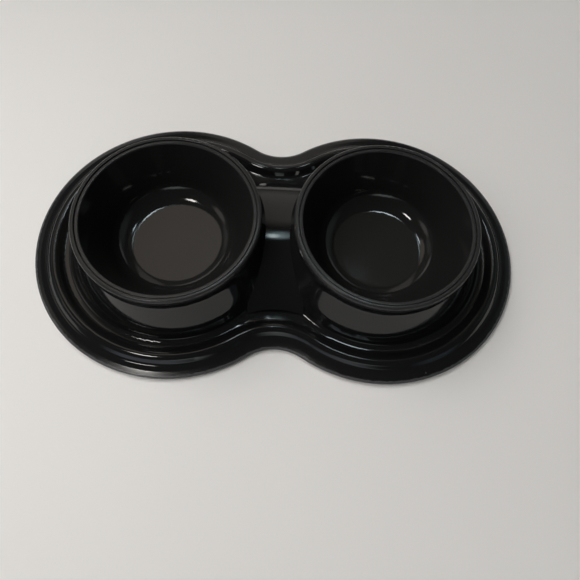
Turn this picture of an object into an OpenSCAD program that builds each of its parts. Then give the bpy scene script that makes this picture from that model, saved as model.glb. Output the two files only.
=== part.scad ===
// Double pet bowl: a figure-8 base with two lift-out bowls and six rubber feet.
// Origin: on the table, midway between the bowls. X runs from bowl to bowl, Z is up.

/* [Bowls] */
// Distance between the centres of the two bowls
bowl_spacing = 150; // [146:1:156]
// Height of the rims above the table
rim_height = 44; // [38:0.2:50]
// Outer radius of each rim
rim_r = 64.1; // [63.4:0.1:66]
// Width of the rounded rim from its outer edge to the bowl seat
rim_w = 3.1; // [2.8:0.1:3.4]
// Height of the rounded rim above the neck that carries it
rim_depth = 5.6; // [4.6:0.1:6.4]
// How far the rim stands out past its neck
rim_overhang = 1.9; // [1.7:0.1:2.6]
// Height of the upright neck, from the bend in the wall up to the rim
neck_h = 6.9; // [6:0.1:9]
// Depth of the top of the bowl's lip below the top of the rim
lip_drop = 0.8; // [0.5:0.1:1.6]
// Width of the lip that hangs the lift-out bowl in its seat
lip_w = 2.3; // [2.2:0.1:3]
// Radius at which the bowl's sloping side would meet its floor
bowl_floor_r = 41.5; // [38:0.5:46]
// Radius of the sweep between the bowl's side and its floor
bowl_sweep_r = 17; // [8:0.5:20]
// Height of the inside of the bowl's floor above the table
bowl_floor_z = 3.4; // [3.2:0.1:6]
// Wall thickness of the lift-out bowl
bowl_wall = 1.4; // [1.2:0.1:1.6]

/* [Base] */
// Radius of the figure-8 outline round each bowl
tray_r = 103; // [101:0.5:108]
// Radius of the hollow at the waist of the figure-8 outline
waist_r = 34.6; // [30:0.2:40]
// Wall thickness of the moulded base
base_wall = 2; // [1.6:0.1:2.1]
// Thickness of the outer lip of the base
lip_t = 2.2; // [2.1:0.1:3]
// Height of the trough floor above the table
trough_z = 3.4; // [3.3:0.1:4.5]
// Radius of the bowl wall's foot, where it meets the trough
foot_r = 76.5; // [75:0.1:78]
// Height of the top of the bridge between the bowls
bridge_z = 23.2; // [18:0.2:27]
// Radius of the bridge's arch
bridge_r = 90; // [86:1:110]

/* [Feet] */
// Radius of a rubber pad
pad_r = 6; // [4.5:0.1:6.4]
// Thickness of a pad, which is how far it stands out below the base
pad_t = 1.1; // [0.8:0.1:1.4]
// Radius of the plug that holds a pad
plug_r = 2.9; // [2:0.1:4]
// Height of that plug
plug_h = 3.2; // [2:0.1:3.4]

/* [Clearances] */
// Gap all round a lift-out bowl in its seat
seat_gap = 0.3; // [0.2:0.05:0.5]
// Gap round a foot's plug in its socket
plug_gap = 0.1; // [0.05:0.05:0.2]

/* [Hidden] */
$fn = 96;

// One length by which every cut runs past the faces it opens
overrun = 8;
// How deep a rounding arc cuts into its sides, and how far past the corner its tool reaches
arc_bite = 0.004;
corner_reach = 0.4;

// Outline of the base: two round lobes joined by two hollow waists that they touch
half_spacing = bowl_spacing / 2;
waist_y = sqrt(pow(tray_r + waist_r, 2) - pow(half_spacing, 2));
tangent_angle = atan2(waist_y, half_spacing);

// Section of the tray, inwards from the outline: lip, flange, raised bead and trough
lip_round = 1.05;
flange_bend = 4.2;
flange_bend_rise = 0.9;
flange_bend_round = 8;
flange_end = 8.8;
flange_end_rise = 1.1;
flange_end_round = 3.5;
bead_place = 14.8;
bead_rise = 7.1;
bead_round = 5;
trough_place = 20.8;
trough_round = 3.5;
tray_depth = 26;
// The waists lie a hair below the lobes and lap into them by a small angle
waist_step = 0.03;
waist_lap = 1;
// Groove under the bead: its edges as distances in from the outline, its flat top and where it stops
groove_out = 9.2;
groove_in = 18.6;
groove_half = 2;
groove_z = 5.6;
groove_stop = 4;
waist_stop = 6;
base_z = pad_t;
flange_z = base_z + lip_t;

// Bowl wall of the base, the neck it bends up into, and the rim round the seat.
// The wall runs in by wall_slope for each millimetre up.
foot_round = 4;
neck_round = 17;
under_rim_round = 0.6;
rim_low_round = 1;
rim_top_round = 1.9;
rim_inner_round = 0.6;
neck_r = rim_r - rim_overhang;
neck_z = rim_height - rim_depth - neck_h;
wall_slope = (foot_r - neck_r) / (neck_z - trough_z);
seat_r = rim_r - rim_w;

// Bridge: its sides lie inside the bowl walls but for its corners, its ends run round the waists
bridge_half = 20;
bridge_end = 28.1;

// Lift-out bowl: its lip, its mouth and how far its sloping side runs in for each millimetre down
bowl_lip_t = 1.6;
bowl_lip_r = seat_r - seat_gap;
bowl_lip_top = rim_height - lip_drop;
bowl_lip_outer_round = 0.5;
bowl_lip_inner_round = 1;
bowl_lip_under_round = 0.2;
mouth_r = bowl_lip_r - lip_w;
bowl_slope = (mouth_r - bowl_floor_r) / (bowl_lip_top - bowl_floor_z);
bowl_wall_across = bowl_wall * norm([1, bowl_slope]);
bowl_side_r = mouth_r + bowl_wall_across - bowl_lip_t * bowl_slope;
bowl_plate_r = bowl_floor_r / 2;

// Ledge on which the lip rests, clear of the bowl's side
seat_z = bowl_lip_top - bowl_lip_t;
ledge_r = bowl_side_r + bowl_lip_under_round + seat_gap;
ledge_t = 2.2;

// Feet: three under the bead of each lobe, each in a solid block between two grooves
foot_place = tray_r - bead_place;
foot_side_turn = 75;
foot_block = 5;
pad_round = 0.4;
plug_clear = 0.4;

// Directions and lengths of the flat vectors used for the rounded outlines
function unit(v) = v / norm(v);
function square_to(v) = [-v[1], v[0]];
function bend(a, b, c) = cross(unit(b - a), unit(c - b));
function corner_half_angle(a, b, c) = acos(unit(a - b) * unit(c - b)) / 2;
function wrap(list, i) = list[(i + len(list)) % len(list)];

// What the arc of radius r cuts from corner b where it points outwards, or fills where it points inwards.
// The arc runs a hair into both sides, so that it crosses each of them in one clear point.
module corner(a, b, c, r) {
    half = corner_half_angle(a, b, c);
    inwards = unit(unit(a - b) + unit(c - b));
    side = (r - arc_bite) / tan(half);
    difference() {
        polygon([b + unit(a - b) * side, b - inwards * corner_reach, b + unit(c - b) * side]);
        translate(b + inwards * (r - arc_bite) / sin(half)) circle(r);
    }
}

// An outline, counter-clockwise, whose corners [x, y, radius] are rounded by true arcs
module rounded_outline(corners) {
    pts = [for (p = corners) [p[0], p[1]]];
    rounded = [for (i = [0:len(pts) - 1]) if (corners[i][2] > 0) i];
    outward = [for (i = rounded) if (bend(wrap(pts, i - 1), pts[i], wrap(pts, i + 1)) > 0) i];
    inward = [for (i = rounded) if (bend(wrap(pts, i - 1), pts[i], wrap(pts, i + 1)) < 0) i];
    difference() {
        union() {
            polygon(pts);
            for (i = inward) corner(wrap(pts, i - 1), pts[i], wrap(pts, i + 1), corners[i][2]);
        }
        for (i = outward) corner(wrap(pts, i - 1), pts[i], wrap(pts, i + 1), corners[i][2]);
    }
}

// A surface path moved down into the material by depth, with its corner radii to match.
// The path runs leftwards, so its material lies on its left hand.
function moved_corner(path, i, depth) =
    let (here = [path[i][0], path[i][1]])
    let (before = i > 0 ? [path[i - 1][0], path[i - 1][1]] : here * 2 - [path[i + 1][0], path[i + 1][1]])
    let (after = i < len(path) - 1 ? [path[i + 1][0], path[i + 1][1]] : here * 2 - before)
    let (n1 = square_to(unit(here - before)))
    let (n2 = square_to(unit(after - here)))
    let (turn = bend(before, here, after))
    let (r = path[i][2] > 0 ? max(path[i][2] - sign(turn) * depth, 0) : 0)
    concat(here + (n1 + n2) * depth / (1 + n1 * n2), [r]);
function moved_in(path, depth) = [for (i = [0:len(path) - 1]) moved_corner(path, i, depth)];

// Surface of the tray from the foot of its outline inwards, as [minus the distance in, height, radius]
tray_path = [
    [0, base_z, lip_round],
    [0, flange_z, lip_round],
    [-flange_bend, flange_z + flange_bend_rise, flange_bend_round],
    [-flange_end, flange_z + flange_end_rise, flange_end_round],
    [-bead_place, trough_z + bead_rise, bead_round],
    [-trough_place, trough_z, trough_round],
    [-tray_depth, trough_z, 0]
];

// Upper surface of the base from the trough up the bowl wall, as [radius, height, rounding]
wall_path = [
    [tray_r - trough_place, trough_z, 0],
    [foot_r, trough_z, foot_round],
    [neck_r, neck_z, neck_round]
];

// Full depth of the tray's edge from the outline inwards, its surface lowered by step
module tray_section(step) {
    rounded_outline(concat([[-tray_depth, base_z, 0]], moved_in(tray_path, step)));
}

// The groove moulded under the bead
module groove_section() {
    low = base_z - overrun;
    polygon([[-groove_in, low], [-groove_out, low], [-groove_out, base_z],
        [groove_half - bead_place, groove_z], [-groove_half - bead_place, groove_z], [-groove_in, base_z]]);
}

// Sweeps a tray section round both lobes of the figure-8 outline
module round_the_lobes() {
    for (side = [0, 1]) mirror([side, 0, 0]) translate([-half_spacing, 0, 0]) rotate([0, 0, tangent_angle])
        rotate_extrude(angle = 360 - 2 * tangent_angle) translate([tray_r, 0]) children();
}

// Sweeps a tray section round both waists, on into the ends of the lobes
module round_the_waists() {
    for (side = [0, 1]) mirror([0, side, 0]) translate([0, -waist_y, 0])
        rotate([0, 0, tangent_angle - waist_lap]) rotate_extrude(angle = 180 - 2 * tangent_angle + 2 * waist_lap)
            translate([waist_r, 0]) mirror([1, 0]) children();
}

// Circles round both waist centres
module waist_circles(r) {
    for (side = [-1, 1]) translate([0, side * waist_y]) circle(r);
}

// The flat of the trough between the waists
module middle_floor() {
    reach = half_spacing + trough_round / cos(tangent_angle);
    translate([0, 0, base_z]) linear_extrude(trough_z - waist_step - base_z) difference() {
        polygon([[-reach, 0], [0, -waist_y - trough_round], [reach, 0], [0, waist_y + trough_round]]);
        waist_circles(waist_r + trough_place + trough_round);
    }
}

// A block under the bridge's arch, lowered by depth and narrower by it on every side
module arched_block(low, depth) {
    half = bridge_half - depth;
    difference() {
        intersection() {
            translate([-half, 0, bridge_z - bridge_r]) rotate([0, 90, 0])
                cylinder(r = bridge_r - depth, h = 2 * half);
            translate([-half, -waist_y, low]) cube([2 * half, 2 * waist_y, rim_height]);
        }
        translate([0, 0, low - overrun]) linear_extrude(rim_height)
            waist_circles(waist_r + bridge_end + depth);
    }
}

// Places a shape at both bowl centres, the left one first
module at_bowls() {
    for (side = [-1, 1]) translate([side * half_spacing, 0, 0]) children();
}

// Places a shape at all six feet
module at_feet() {
    for (side = [-1, 1]) for (turn = [-1, 0, 1]) at_foot(side, turn) children();
}

// One foot's place: side is the bowl, turn is front, end or back
module at_foot(side, turn) {
    translate([side * (half_spacing + foot_place * cos(turn * foot_side_turn)),
        foot_place * sin(turn * foot_side_turn), 0]) children();
}

// The sloping wall round a bowl and its rounded rim, solid to the axis below the seat
module wall_and_rim() {
    rim_low = rim_height - rim_depth;
    rotate_extrude() rounded_outline([
        [0, base_z, 0], [wall_path[0][0], base_z, 0], wall_path[0], wall_path[1], wall_path[2],
        [neck_r, rim_low, under_rim_round], [rim_r, rim_low, rim_low_round],
        [rim_r, rim_height, rim_top_round], [seat_r, rim_height, rim_inner_round],
        [seat_r, seat_z, 0], [0, seat_z, 0]
    ]);
}

// The space inside that wall, up to the ledge
module wall_hollow() {
    inner_foot_r = foot_r - base_wall * norm([1, wall_slope]);
    inner_neck_r = neck_r - base_wall;
    inner_neck_z = trough_z + (inner_foot_r - inner_neck_r) / wall_slope;
    low = base_z - overrun;
    high = seat_z - ledge_t;
    rotate_extrude() polygon([[0, low], [inner_foot_r + wall_slope * (trough_z - low), low],
        [inner_neck_r, inner_neck_z], [inner_neck_r, high], [0, high]]);
}

// Grooves under the bead, between the feet and short of the joints of the outline
module grooves() {
    end_turn = 180 - tangent_angle - groove_stop;
    turns = [[-end_turn, -foot_side_turn - foot_block], [foot_block - foot_side_turn, -foot_block],
        [foot_block, foot_side_turn - foot_block], [foot_side_turn + foot_block, end_turn]];
    for (side = [0, 1]) mirror([side, 0, 0]) translate([half_spacing, 0, 0]) for (t = turns)
        rotate([0, 0, t[0]]) rotate_extrude(angle = t[1] - t[0]) translate([tray_r, 0]) groove_section();
    from = tangent_angle + waist_stop;
    for (side = [0, 1]) mirror([0, side, 0]) translate([0, -waist_y, 0]) rotate([0, 0, from])
        rotate_extrude(angle = 180 - 2 * from) translate([waist_r, 0]) mirror([1, 0]) groove_section();
}

// The base without its hollows
module base_solid() {
    round_the_lobes() tray_section(0);
    round_the_waists() tray_section(waist_step);
    middle_floor();
    at_bowls() wall_and_rim();
    arched_block(base_z, 0);
}

// Moulded base: lip, bead, trough, bridge, bowl walls and rims in one piece
module base_shell() {
    color("#141414") difference() {
        base_solid();
        at_bowls() wall_hollow();
        arched_block(base_z - overrun, base_wall);
        grooves();
        at_bowls() translate([0, 0, base_z]) cylinder(r = ledge_r, h = rim_height);
        at_feet() translate([0, 0, base_z - overrun])
            cylinder(r = plug_r + plug_gap, h = overrun + plug_h + plug_clear);
    }
}

// Lift-out bowl: lip, sloping side, sweep and flat floor
module bowl() {
    under_r = bowl_floor_r + bowl_wall_across - bowl_wall * bowl_slope;
    under_z = bowl_floor_z - bowl_wall;
    translate([0, 0, under_z]) cylinder(r = bowl_plate_r + bowl_wall, h = bowl_wall);
    rotate_extrude() rounded_outline([
        [bowl_plate_r, under_z, 0],
        [under_r, under_z, bowl_sweep_r + bowl_wall],
        [bowl_side_r, seat_z, bowl_lip_under_round],
        [bowl_lip_r, seat_z, 0],
        [bowl_lip_r, bowl_lip_top, bowl_lip_outer_round],
        [mouth_r, bowl_lip_top, bowl_lip_inner_round],
        [bowl_floor_r, bowl_floor_z, bowl_sweep_r],
        [bowl_plate_r, bowl_floor_z, 0]
    ]);
}

// Bowl on the left
module left_bowl() {
    color("#161616") translate([-half_spacing, 0, 0]) bowl();
}

// Bowl on the right
module right_bowl() {
    color("#161616") translate([half_spacing, 0, 0]) bowl();
}

// Rubber foot: a flat pad with a plug that fills its socket in the base
module foot(side, turn) {
    color("#242424") at_foot(side, turn) rotate_extrude() rounded_outline([
        [0, 0, 0], [pad_r, 0, pad_round], [pad_r, pad_t, 0], [plug_r, pad_t, 0],
        [plug_r, pad_t + plug_h, pad_round], [0, pad_t + plug_h, 0]
    ]);
}

base_shell();
left_bowl();
right_bowl();
foot(-1, -1);  // foot_left_front
foot(-1, 1);  // foot_left_back
foot(-1, 0);  // foot_left_end
foot(1, -1);  // foot_right_front
foot(1, 1);  // foot_right_back
foot(1, 0);  // foot_right_end
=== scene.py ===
"""Looks of a double pet bowl: gloss black plastic with satin rims, standing on a pale table."""
from collections import namedtuple
from math import cos, radians, sin

import bpy
from mathutils import Matrix, Vector


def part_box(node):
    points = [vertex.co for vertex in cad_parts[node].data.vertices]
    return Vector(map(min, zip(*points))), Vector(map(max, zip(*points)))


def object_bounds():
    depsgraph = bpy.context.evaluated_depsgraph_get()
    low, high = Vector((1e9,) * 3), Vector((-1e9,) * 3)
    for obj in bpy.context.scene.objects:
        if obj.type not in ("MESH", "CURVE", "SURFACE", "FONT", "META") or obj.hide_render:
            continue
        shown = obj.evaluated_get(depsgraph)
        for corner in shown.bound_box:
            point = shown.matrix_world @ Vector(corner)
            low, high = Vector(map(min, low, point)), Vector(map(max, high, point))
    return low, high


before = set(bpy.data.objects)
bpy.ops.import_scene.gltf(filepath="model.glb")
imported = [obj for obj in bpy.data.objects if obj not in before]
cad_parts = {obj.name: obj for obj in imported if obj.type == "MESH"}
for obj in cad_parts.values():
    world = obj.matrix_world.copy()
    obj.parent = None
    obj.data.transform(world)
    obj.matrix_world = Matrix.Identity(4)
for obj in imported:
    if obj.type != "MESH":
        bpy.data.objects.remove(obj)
cad_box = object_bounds()

# Lengths are in metres. What follows the CAD model is taken from the frame.

MM = 0.001
LEFT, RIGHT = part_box("left_bowl"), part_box("right_bowl")
HALF_SPACING = (RIGHT[0].x + RIGHT[1].x) / 2
RIM_HEIGHT = 5.6 * MM
RIM_FOOT = cad_box[1].z - RIM_HEIGHT
LIP_TOP = LEFT[1].z


# The camera, at the photograph's place and angle

CAMERA_PLACE = Vector((-0.5, -163.3, 323.0)) * MM
CAMERA_PITCH, CAMERA_YAW, CAMERA_ROLL = radians(68.28), radians(4.8), radians(6.2)
CAMERA_CLIP = 5 * MM
FOCAL_PIXELS, FRAME_PIXELS = 473.1, 580


def add_camera():
    data = bpy.data.cameras.new("camera")
    data.lens = data.sensor_width * FOCAL_PIXELS / FRAME_PIXELS
    data.clip_start = CAMERA_CLIP
    camera = bpy.data.objects.new("camera", data)
    turn = Matrix.Rotation(-CAMERA_YAW, 4, "Z") @ Matrix.Rotation(radians(90) - CAMERA_PITCH, 4, "X")
    camera.matrix_world = Matrix.Translation(CAMERA_PLACE) @ turn @ Matrix.Rotation(CAMERA_ROLL, 4, "Z")
    bpy.context.scene.collection.objects.link(camera)
    bpy.context.scene.camera = camera


# A short way to write node graphs

class Graph:
    """The nodes of one material or world. Inputs are given as sockets or plain values."""

    def __init__(self, tree):
        self.tree = tree
        tree.nodes.clear()

    def node(self, kind, inputs=None, **settings):
        """Adds a node with its settings, and feeds its inputs by name or number."""
        made = self.tree.nodes.new(kind)
        for name, value in settings.items():
            setattr(made, name, value)
        for key, value in (inputs or {}).items():
            self.feed(made.inputs[key], value)
        return made

    def feed(self, socket, value):
        if isinstance(value, bpy.types.NodeSocket):
            self.tree.links.new(value, socket)
        else:
            socket.default_value = value

    def math(self, operation, *values):
        made = self.node("ShaderNodeMath", operation=operation)
        for socket, value in zip(made.inputs, values):
            self.feed(socket, value)
        return made.outputs[0]

    def between(self, value, low, high, to_low=0.0, to_high=1.0):
        """Turns low..high smoothly into to_low..to_high, and stays there beyond both ends."""
        inputs = {0: value, 1: low, 2: high, 3: to_low, 4: to_high}
        return self.node("ShaderNodeMapRange", inputs, interpolation_type="SMOOTHSTEP").outputs[0]

    def noise(self, place, scale, detail=2.0, roughness=0.5):
        inputs = {"Vector": place, "Scale": scale, "Detail": detail, "Roughness": roughness}
        return self.node("ShaderNodeTexNoise", inputs).outputs["Fac"]

    def length(self, x, y):
        return self.math("SQRT", self.math("ADD", self.math("MULTIPLY", x, x), self.math("MULTIPLY", y, y)))

    def mix(self, share, first, second):
        return self.node("ShaderNodeMix", {0: share, 2: first, 3: second}).outputs[0]

    def mix_colour(self, share, first, second):
        made = self.node("ShaderNodeMix", {0: share, 6: first, 7: second}, data_type="RGBA")
        return made.outputs[2]

    def bump(self, height, distance, strength=1.0, below=None):
        """Normal of a relief that is distance high, on top of the normal below where one is given."""
        inputs = {"Height": height, "Distance": distance, "Strength": strength}
        if below is not None:
            inputs["Normal"] = below
        return self.node("ShaderNodeBump", inputs).outputs["Normal"]


def new_material(name):
    """A material, its empty graph and the place of each point, in metres."""
    made = bpy.data.materials.new(name)
    made.use_nodes = True
    g = Graph(made.node_tree)
    return made, g, g.node("ShaderNodeTexCoord").outputs["Object"]


def height_of(g, place):
    return g.node("ShaderNodeSeparateXYZ", {0: place}).outputs["Z"]


def surface(g, **inputs):
    """Ends a material. Inputs are the shader's sockets, with _ for a space."""
    shader = g.node("ShaderNodeBsdfPrincipled", {key.replace("_", " "): v for key, v in inputs.items()})
    g.node("ShaderNodeOutputMaterial", {"Surface": shader.outputs[0]})


# Colours. The loose bowls are barely lighter than the base, as the photograph has them: painted fill light
# that lifts the shade inside the bowls.

BLACK = (0.0066, 0.0066, 0.0067, 1)
# Painted fill light: the bowls' black is lifted to light their shaded insides.
BOWL_BLACK_PAINTED_FILL = (0.0100, 0.0098, 0.0096, 1)
SATIN_BLACK = (0.021, 0.0208, 0.0205, 1)
# Painted highlight: a pale line along the outer lip, standing in for its reflection of the pale table.
LIP_PAINTED_HIGHLIGHT = (0.06, 0.06, 0.061, 1)
DUST = (0.35, 0.34, 0.33, 1)
RUBBER_DARK = (0.014, 0.014, 0.014, 1)
RUBBER_PALE = (0.026, 0.026, 0.025, 1)
TABLE_DARK = (0.78, 0.757, 0.738, 1)
TABLE_PALE = (0.82, 0.797, 0.778, 1)


# Grain of the materials. Scales are in cells per metre, and levels are the part of a noise that is used.

RIPPLE_SCALE, RIPPLE_HEIGHT = 55, 0.012 * MM
HAZE_SCALE, HAZE_LEVELS, GLOSS_ROUGHNESS = 24, (0.35, 0.7), (0.05, 0.10)
GRAIN_SCALE, GRAIN_LEVELS, SATIN_ROUGHNESS = 2600, (0.2, 0.8), (0.17, 0.29)
GRAIN_HEIGHT, GRAIN_STRENGTH = 0.02 * MM, 0.5
DUST_SCALE, DUST_SIZE, CLEAN_SHARE = 75, 0.02, 0.8
# Noise that varies the width of the painted highlight along the outer lip.
LIP_HIGHLIGHT_WIDTH_SCALE, LIP_HIGHLIGHT_WIDTH_LEVELS = 300, (0.3, 0.7)
PIT_SCALE, PIT_LEVELS, RUBBER_ROUGHNESS = 1800, (0.2, 0.8), (0.62, 0.85)
PIT_HEIGHT = 0.06 * MM
RUBBER_SHADE_SCALE = 180
TABLE_TONE_SCALE, TABLE_ROUGHNESS = 3, 0.6


# Where the gloss turns into satin: heights on the rims and on the bowls' lips, and widths along the outer lip

RIM_FADE = (RIM_FOOT - 0.2 * MM, RIM_FOOT + 0.4 * MM)
BOWL_LIP_FADE = (LIP_TOP - 1.2 * MM, LIP_TOP - 0.7 * MM)
# The outer lip's band is satin and also carries the painted highlight.
LIP_BAND = 1.8 * MM
LIP_BAND_SHARES = (0.8, 1.1)
LIP_FADE = 0.2 * MM
DULL_FROM, DULL_TO, DULL_ROUGHNESS = 5 * MM, 1 * MM, 0.2


# Plan of the base: its two lobes and two hollow waists, as circles that meet

LOBE_R = cad_box[1].x - HALF_SPACING
WAIST_R = 34.6 * MM
WAIST_Y = ((LOBE_R + WAIST_R) ** 2 - HALF_SPACING ** 2) ** 0.5


def outline_distance(g, place):
    """Distance of a point in plan from the outline of the base, inwards."""
    x, y, _ = g.node("ShaderNodeSeparateXYZ", {0: place}).outputs
    x, y = g.math("ABSOLUTE", x), g.math("ABSOLUTE", y)
    from_lobe = g.length(g.math("SUBTRACT", x, HALF_SPACING), y)
    waist_y = g.math("SUBTRACT", WAIST_Y, y)
    from_waist = g.length(x, waist_y)
    in_waist = g.math("LESS_THAN", x, g.math("MULTIPLY", waist_y, HALF_SPACING / WAIST_Y))
    lobe_side = g.math("SUBTRACT", LOBE_R, from_lobe)
    waist_side = g.math("SUBTRACT", from_waist, WAIST_R)
    return g.mix(in_waist, lobe_side, waist_side)


def gloss(g, place):
    """Roughness and normal of moulded gloss: faint flow ripples and a haze of fine handling marks."""
    ripples = g.noise(place, RIPPLE_SCALE)
    haze = g.noise(place, HAZE_SCALE, detail=5, roughness=0.6)
    return g.between(haze, *HAZE_LEVELS, *GLOSS_ROUGHNESS), g.bump(ripples, RIPPLE_HEIGHT)


def satin(g, place, share, rough, normal):
    """The given roughness and normal, with a satin grain where share is 1."""
    grain = g.noise(place, GRAIN_SCALE)
    grained = g.between(grain, *GRAIN_LEVELS, *SATIN_ROUGHNESS)
    strength = g.math("MULTIPLY", share, GRAIN_STRENGTH)
    return g.mix(share, rough, grained), g.bump(grain, GRAIN_HEIGHT, strength, normal)


def dust(g, place):
    """1 on sparse specks of dust."""
    cells = g.node("ShaderNodeTexVoronoi", {"Vector": place, "Scale": DUST_SCALE, "Randomness": 1})
    draw = g.node("ShaderNodeSeparateColor", {0: cells.outputs["Color"]}).outputs[0]
    picked = g.math("GREATER_THAN", draw, CLEAN_SHARE)
    return g.math("MULTIPLY", picked, g.math("LESS_THAN", cells.outputs["Distance"], DUST_SIZE))


def gloss_black_base(name):
    """Gloss black with satin rims and a satin line along the outer lip, painted pale: a painted highlight for
    the lip's reflection of the pale table, of a width that wanders.
    """
    material, g, place = new_material(name)
    rim = g.between(height_of(g, place), *RIM_FADE)
    highlight_width_noise = g.noise(place, LIP_HIGHLIGHT_WIDTH_SCALE, detail=3)
    width = g.between(highlight_width_noise, *LIP_HIGHLIGHT_WIDTH_LEVELS, *(share * LIP_BAND for share in LIP_BAND_SHARES))
    edge = g.math("SUBTRACT", outline_distance(g, place), width)
    lip = g.between(edge, LIP_FADE, -LIP_FADE)
    rough, normal = gloss(g, place)
    rough = g.math("MAXIMUM", rough, g.between(edge, DULL_FROM, DULL_TO, 0, DULL_ROUGHNESS))
    rough, normal = satin(g, place, g.math("MAXIMUM", rim, lip), rough, normal)
    colour = g.mix_colour(rim, BLACK, SATIN_BLACK)
    # Painted highlight: the outer lip's band is painted pale, for its reflection of the table.
    colour = g.mix_colour(lip, colour, LIP_PAINTED_HIGHLIGHT)
    colour = g.mix_colour(dust(g, place), colour, DUST)
    surface(g, Base_Color=colour, Roughness=rough, Normal=normal)
    return material


def gloss_black_bowl(name):
    """Gloss black with the satin of the rims on the narrow lip."""
    material, g, place = new_material(name)
    lip = g.between(height_of(g, place), *BOWL_LIP_FADE)
    rough, normal = satin(g, place, lip, *gloss(g, place))
    # The bowls' black is a little lighter than the base's: painted fill light for their shaded insides.
    colour = g.mix_colour(lip, BOWL_BLACK_PAINTED_FILL, SATIN_BLACK)
    colour = g.mix_colour(dust(g, place), colour, DUST)
    surface(g, Base_Color=colour, Roughness=rough, Normal=normal)
    return material


def rubber(name):
    """Matt black rubber with a fine pitted skin."""
    material, g, place = new_material(name)
    pits = g.noise(place, PIT_SCALE, detail=3)
    shade = g.noise(place, RUBBER_SHADE_SCALE, detail=3)
    colour = g.mix_colour(shade, RUBBER_DARK, RUBBER_PALE)
    rough = g.between(pits, *PIT_LEVELS, *RUBBER_ROUGHNESS)
    surface(g, Base_Color=colour, Roughness=rough, Normal=g.bump(pits, PIT_HEIGHT))
    return material


def table_top(name):
    """White table with a barely uneven tone."""
    material, g, place = new_material(name)
    tone = g.noise(place, TABLE_TONE_SCALE, detail=3)
    surface(g, Base_Color=g.mix_colour(tone, TABLE_DARK, TABLE_PALE), Roughness=TABLE_ROUGHNESS)
    return material


def dress(names, material):
    for name in names:
        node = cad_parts[name]
        node.data.materials.clear()
        node.data.materials.append(material)


# Smooth shading of the moulded surfaces

CREASE = radians(24)
WELD_GAP = 0.001 * MM


def smooth_shading(node):
    """Joins the faces' edges and shades them smoothly, apart from real creases."""
    weld = node.modifiers.new("weld", "WELD")
    weld.merge_threshold = WELD_GAP
    node.data.polygons.foreach_set("use_smooth", [True] * len(node.data.polygons))
    split = node.modifiers.new("creases", "EDGE_SPLIT")
    split.split_angle = CREASE
    node.modifiers.new("normals", "WEIGHTED_NORMAL")


# The table and the light

TABLE_SIZE = 8.0


def add_table():
    bpy.ops.mesh.primitive_plane_add(size=TABLE_SIZE, location=(0, 0, 0))
    table = bpy.context.object
    table.name = "table"
    table.data.materials.append(table_top("table"))


def towards(azimuth, elevation):
    """Unit vector at an azimuth from +X towards +Y and an elevation above the table, in degrees."""
    a, e = radians(azimuth), radians(elevation)
    return Vector((cos(e) * cos(a), cos(e) * sin(a), sin(e)))


def add_lamp(name, kind, azimuth, elevation, distance, power, colour, **shape):
    """A soft studio light on the colours and the table. The gloss doesn't see it: it mirrors the room."""
    data = bpy.data.lights.new(name, kind)
    data.energy = power
    data.color = colour
    for setting, value in shape.items():
        setattr(data, setting, value)
    lamp = bpy.data.objects.new(name, data)
    place = towards(azimuth, elevation) * distance
    lamp.matrix_world = Matrix.Translation(place) @ place.to_track_quat("Z", "Y").to_matrix().to_4x4()
    lamp.visible_glossy = False
    bpy.context.scene.collection.objects.link(lamp)


def add_lamps():
    add_lamp("key", "SUN", azimuth=132, elevation=42, distance=1.0, power=1.35,
             colour=(1, 0.985, 0.965), angle=radians(28))
    add_lamp("fill", "AREA", azimuth=190, elevation=50, distance=0.65, power=1.6,
             colour=(1, 0.995, 0.985), shape="DISK", size=0.5)


# The room that the gloss mirrors. Each patch is an ellipse on the sky, in degrees: azimuth and elevation of
# its centre, half width and half height. Then come the share of it that fades out, and its brightness.
# A later patch covers the earlier ones.

Patch = namedtuple("Patch", "azimuth elevation across up soft colour")
ROOM = [
    Patch(180, 8, 45, 20, 0.7, (0.10, 0.115, 0.135)),
    Patch(20, 34, 34, 21, 0.7, (0.16, 0.185, 0.19)),
    Patch(100, 40, 34, 15, 0.7, (0.08, 0.075, 0.07)),
    Patch(122, 25, 22, 9, 0.7, (0.85, 0.83, 0.80)),
    Patch(50, 24, 20, 9, 0.7, (0.50, 0.51, 0.50)),
    Patch(90, 28, 10, 30, 0.4, (0.46, 0.44, 0.405)),
    Patch(150, 38, 15, 14, 0.7, (0.30, 0.29, 0.285)),
    Patch(180, 40, 15, 13, 0.6, (0.75, 0.70, 0.65)),
    Patch(118, 60, 15, 9, 0.45, (0.82, 0.73, 0.64)),
    Patch(66, 61, 11, 8, 0.5, (0.14, 0.15, 0.12)),
    Patch(250, 10, 38, 13, 0.6, (0.70, 0.74, 0.84)),
    Patch(318, 12, 20, 12, 0.7, (0.22, 0.27, 0.32)),
]
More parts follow.
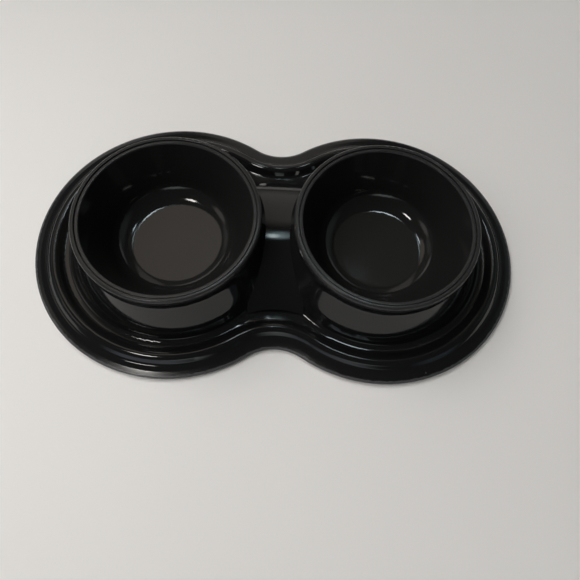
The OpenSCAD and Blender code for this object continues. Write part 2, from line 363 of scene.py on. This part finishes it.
LAMPS_SEEN = [
    Patch(203, 70, 6, 4, 0.3, (21, 20.2, 19.4)),
    Patch(108, 68.2, 2.6, 3, 0.4, (10, 11.7, 12.5)),
    Patch(63, 68.5, 2.6, 3, 0.4, (10, 11.7, 12.5)),
    Patch(89, 65, 2.2, 6, 0.6, (1.8, 2.4, 2.6)),
    Patch(91, 65.5, 0.7, 2.6, 0.3, (9, 10.5, 11)),
    Patch(268, 23, 24, 9, 0.8, (1.2, 1.3, 1.28)),
]
CEILING = (0.05, 0.052, 0.05, 1)
BACKDROP = (0.72, 0.72, 0.72, 1)


def patch_share(g, direction, patch):
    """1 in the middle of a patch and 0 outside it, softly between."""
    inputs = {
        "Vector": direction,
        "Location": towards(patch.azimuth, patch.elevation),
        "Rotation": (0, radians(-patch.elevation), radians(patch.azimuth)),
        "Scale": (1, sin(radians(patch.across)), sin(radians(patch.up))),
    }
    local = g.node("ShaderNodeMapping", inputs, vector_type="TEXTURE")
    away = g.node("ShaderNodeVectorMath", {0: local.outputs[0]}, operation="LENGTH").outputs["Value"]
    return g.between(away, 1, 1 - patch.soft)


def room_light():
    world = bpy.data.worlds.new("room")
    bpy.context.scene.world = world
    world.use_nodes = True
    g = Graph(world.node_tree)
    direction = g.node("ShaderNodeTexCoord").outputs["Generated"]
    colour = CEILING
    for patch in ROOM + LAMPS_SEEN:
        colour = g.mix_colour(patch_share(g, direction, patch), colour, (*patch.colour, 1))
    to_camera = g.node("ShaderNodeLightPath").outputs["Is Camera Ray"]
    shown = g.mix_colour(to_camera, colour, BACKDROP)
    background = g.node("ShaderNodeBackground", {"Color": shown, "Strength": 1.0})
    g.node("ShaderNodeOutputWorld", {"Surface": background.outputs[0]})


add_camera()
add_table()
room_light()
add_lamps()
feet = [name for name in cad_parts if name.startswith("foot")]
dress(["base_shell"], gloss_black_base("gloss_black_base"))
dress(["left_bowl", "right_bowl"], gloss_black_bowl("gloss_black_bowl"))
dress(feet, rubber("rubber"))
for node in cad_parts.values():
    smooth_shading(node)
bpy.context.scene.view_settings.view_transform = "Standard"
